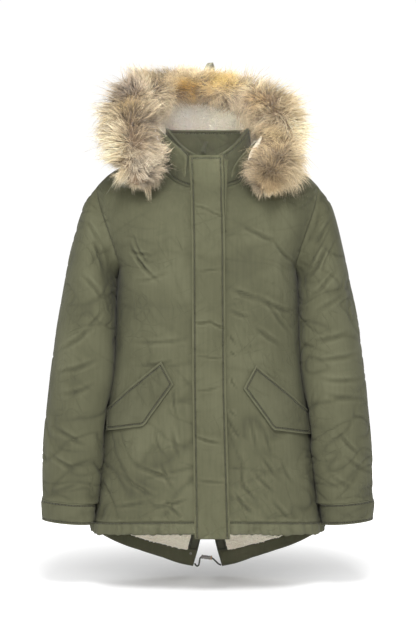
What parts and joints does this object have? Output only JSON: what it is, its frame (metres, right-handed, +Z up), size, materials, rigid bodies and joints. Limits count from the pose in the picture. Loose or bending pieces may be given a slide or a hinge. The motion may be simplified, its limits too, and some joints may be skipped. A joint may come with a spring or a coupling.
{
  "type": "fur trimmed parka",
  "caption": "Hip-length hooded parka with a fur-trimmed hood, covered front opening, slanted pocket flaps, turned cuffs and a longer split back hem with a drawcord, filled out as worn.",
  "frame": {"origin": "between the wearer's shoulders, where the parka is held up", "axes": "+Z up, the wearer faces -Y, the wearer's right side is on -X"},
  "size_m": [0.6106, 0.3081, 0.9614],
  "materials": {
    "olive_twill": "washed cotton twill, quilted to wadding inside",
    "inner_olive_twill": "unwashed face of the same twill",
    "cream_pile": "knitted curly pile",
    "fur": "long-haired fur, dark roots and pale tips",
    "olive_cord": "round braid",
    "antique_metal": "antiqued, polished on the edges"
  },
  "bodies": {
    "root": {"back_left": "olive_twill", "back_lining_left": "cream_pile", "back_lining_right": "cream_pile", "back_right": "olive_twill", "collar": "olive_twill", "cord_lock": "antique_metal", "cord_ring": "antique_metal", "crown_tab": "olive_twill", "cuff_left": "olive_twill", "cuff_right": "olive_twill", "drawcord_left": "olive_cord", "drawcord_right": "olive_cord", "eyelet": "antique_metal", "front_left": "olive_twill", "front_right": "olive_twill", "fur_trim": "fur", "hanger_loop": "inner_olive_twill", "hem_band_back_left": "olive_twill", "hem_band_back_right": "olive_twill", "hem_band_front_left": "olive_twill", "hem_band_front_right": "olive_twill", "hood_left": "olive_twill", "hood_lining_left": "cream_pile", "hood_lining_right": "cream_pile", "hood_right": "olive_twill", "placket": "olive_twill", "pocket_flap_left": "olive_twill", "pocket_flap_right": "olive_twill", "sleeve_left": "olive_twill", "sleeve_right": "olive_twill", "under_strip": "olive_twill", "vent_facing_left": "inner_olive_twill", "vent_facing_right": "inner_olive_twill"}
  },
  "joints": []
}
